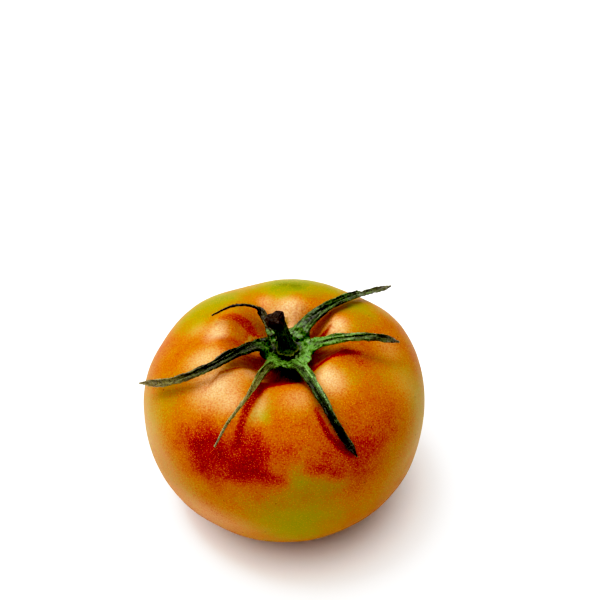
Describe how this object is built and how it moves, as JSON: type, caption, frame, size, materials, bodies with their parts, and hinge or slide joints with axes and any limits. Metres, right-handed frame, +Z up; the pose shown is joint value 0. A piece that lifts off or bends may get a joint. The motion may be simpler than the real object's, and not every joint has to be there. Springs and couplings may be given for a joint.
{
  "type": "salad tomato",
  "caption": "Whole, round, slightly ribbed salad tomato, half ripe, with its green calyx and a stub of stem; rests on a small flat spot.",
  "frame": {"origin": "middle of the small flat spot that the fruit rests on, at its blossom end", "axes": "+Z up through the calyx, +X to the right and -Y towards the viewer of the picture"},
  "size_m": [0.07, 0.0687, 0.0633],
  "materials": {
    "tomato_skin": "smooth waxy tomato skin, half ripe: orange with red and green blushes and a fine pale speckle",
    "sepal_green": "matt, finely ribbed and hairy green sepals, drying to dark brown at the tips",
    "stem_bark": "dull dark green stem with a brown, corky break"
  },
  "bodies": {
    "root": {"fruit": "tomato_skin", "calyx": "sepal_green", "stem": "stem_bark"}
  },
  "joints": []
}
